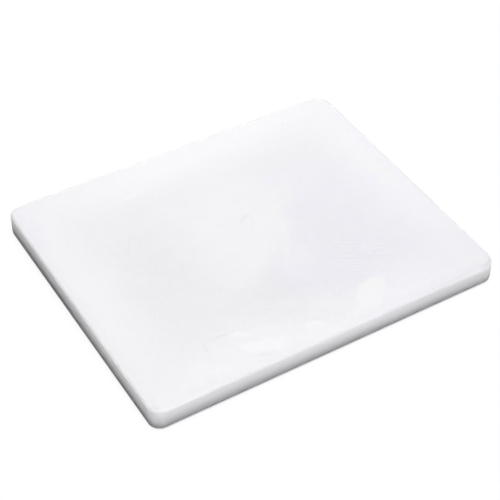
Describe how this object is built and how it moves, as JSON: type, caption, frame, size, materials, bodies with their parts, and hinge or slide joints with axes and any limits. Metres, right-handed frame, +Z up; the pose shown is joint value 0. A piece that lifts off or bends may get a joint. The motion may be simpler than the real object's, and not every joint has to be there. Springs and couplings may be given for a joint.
{
  "type": "carving board",
  "caption": "Rectangular solid plastic carving board with rounded corners and eased rims, flat on the cutting face and on the underside.",
  "frame": {"origin": "centre of the underside, on the surface that the board rests on", "axes": "+Z up, out of the cutting face; +X along the long side; +Y along the short side"},
  "size_m": [0.325, 0.265, 0.02],
  "materials": {
    "polyethylene": "white polyethylene, planed to a satin finish"
  },
  "bodies": {
    "root": {"board_slab": "polyethylene"}
  },
  "joints": []
}
